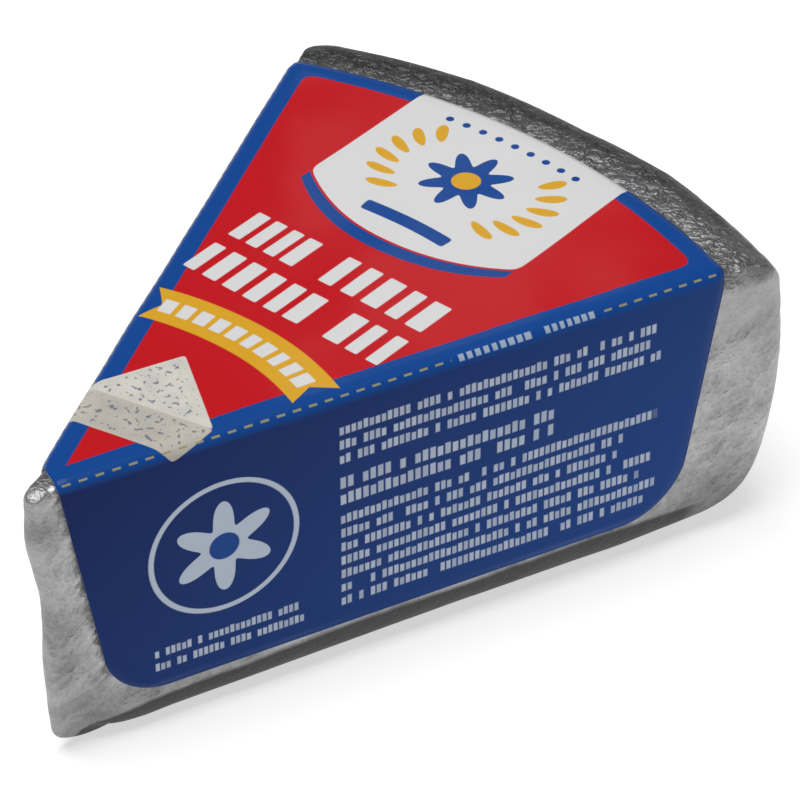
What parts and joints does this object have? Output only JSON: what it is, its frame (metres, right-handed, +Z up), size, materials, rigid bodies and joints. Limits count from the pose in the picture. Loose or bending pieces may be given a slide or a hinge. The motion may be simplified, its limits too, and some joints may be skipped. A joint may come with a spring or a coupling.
{
  "type": "foil-wrapped blue cheese wedge",
  "caption": "Wedge of blue cheese wrapped in crinkled foil, with a glossy printed label folded over its top and cut faces.",
  "frame": {"origin": "middle of the bounding box's underside, on the surface that the wedge stands on", "axes": "+Z up, +Y from the thin nose to the curved rim, +X to the right seen from the nose"},
  "size_m": [0.0765, 0.1037, 0.0428],
  "materials": {
    "foil": "satin, crinkled",
    "printed_film": "glossy print"
  },
  "bodies": {
    "root": {"foil_wedge": "foil", "label": "printed_film"}
  },
  "joints": []
}
